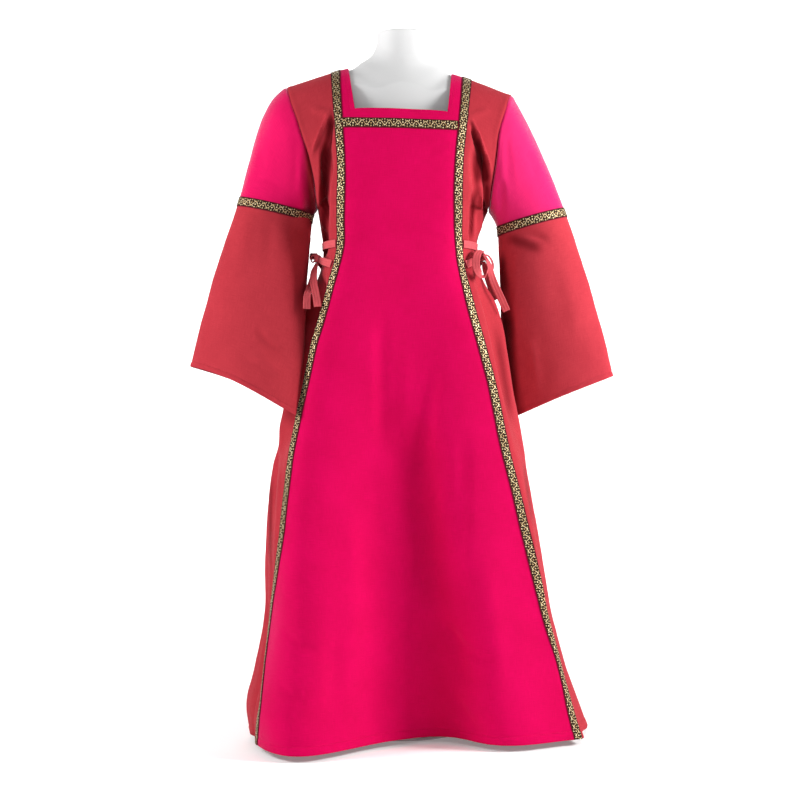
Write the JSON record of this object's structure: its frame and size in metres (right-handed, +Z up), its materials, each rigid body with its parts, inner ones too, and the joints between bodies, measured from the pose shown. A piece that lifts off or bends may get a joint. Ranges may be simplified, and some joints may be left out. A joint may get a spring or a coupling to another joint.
{
  "type": "medieval dress on dress form",
  "caption": "Child's long medieval dress with a square neck, flared sleeves, woven trim and side ties, worn by a limbless dress form on a round base.",
  "frame": {"origin": "centre of the underside of the form's round base, on the floor", "axes": "+Z up, the dress faces -Y, and +X is to the viewer's right"},
  "size_m": [0.6763, 0.4344, 1.116],
  "materials": {
    "pink": "matt twill cloth",
    "raspberry": "matt twill cloth",
    "gold_trim": "woven metallic jacquard ribbon",
    "coral": "folded twill cloth tie",
    "grey_shell": "matt light grey shell",
    "grey_metal": "light grey powder coat"
  },
  "bodies": {
    "root": {"front_panel": "pink", "side_front_left": "raspberry", "side_front_right": "raspberry", "back_panel": "raspberry", "upper_sleeve_left": "pink", "upper_sleeve_right": "pink", "lower_sleeve_left": "raspberry", "lower_sleeve_right": "raspberry", "trim_front_left": "gold_trim", "trim_front_right": "gold_trim", "trim_neck": "gold_trim", "trim_sleeve_left": "gold_trim", "trim_sleeve_right": "gold_trim", "tie_upper_left": "coral", "tie_upper_right": "coral", "tie_front_left": "coral", "tie_front_right": "coral", "tie_back_left": "coral", "tie_back_right": "coral", "bow_left": "coral", "bow_right": "coral", "tail_front_left": "coral", "tail_front_right": "coral", "tail_back_left": "coral", "tail_back_right": "coral", "form_torso": "grey_shell", "form_pole": "grey_metal", "form_base": "grey_metal"}
  },
  "joints": []
}
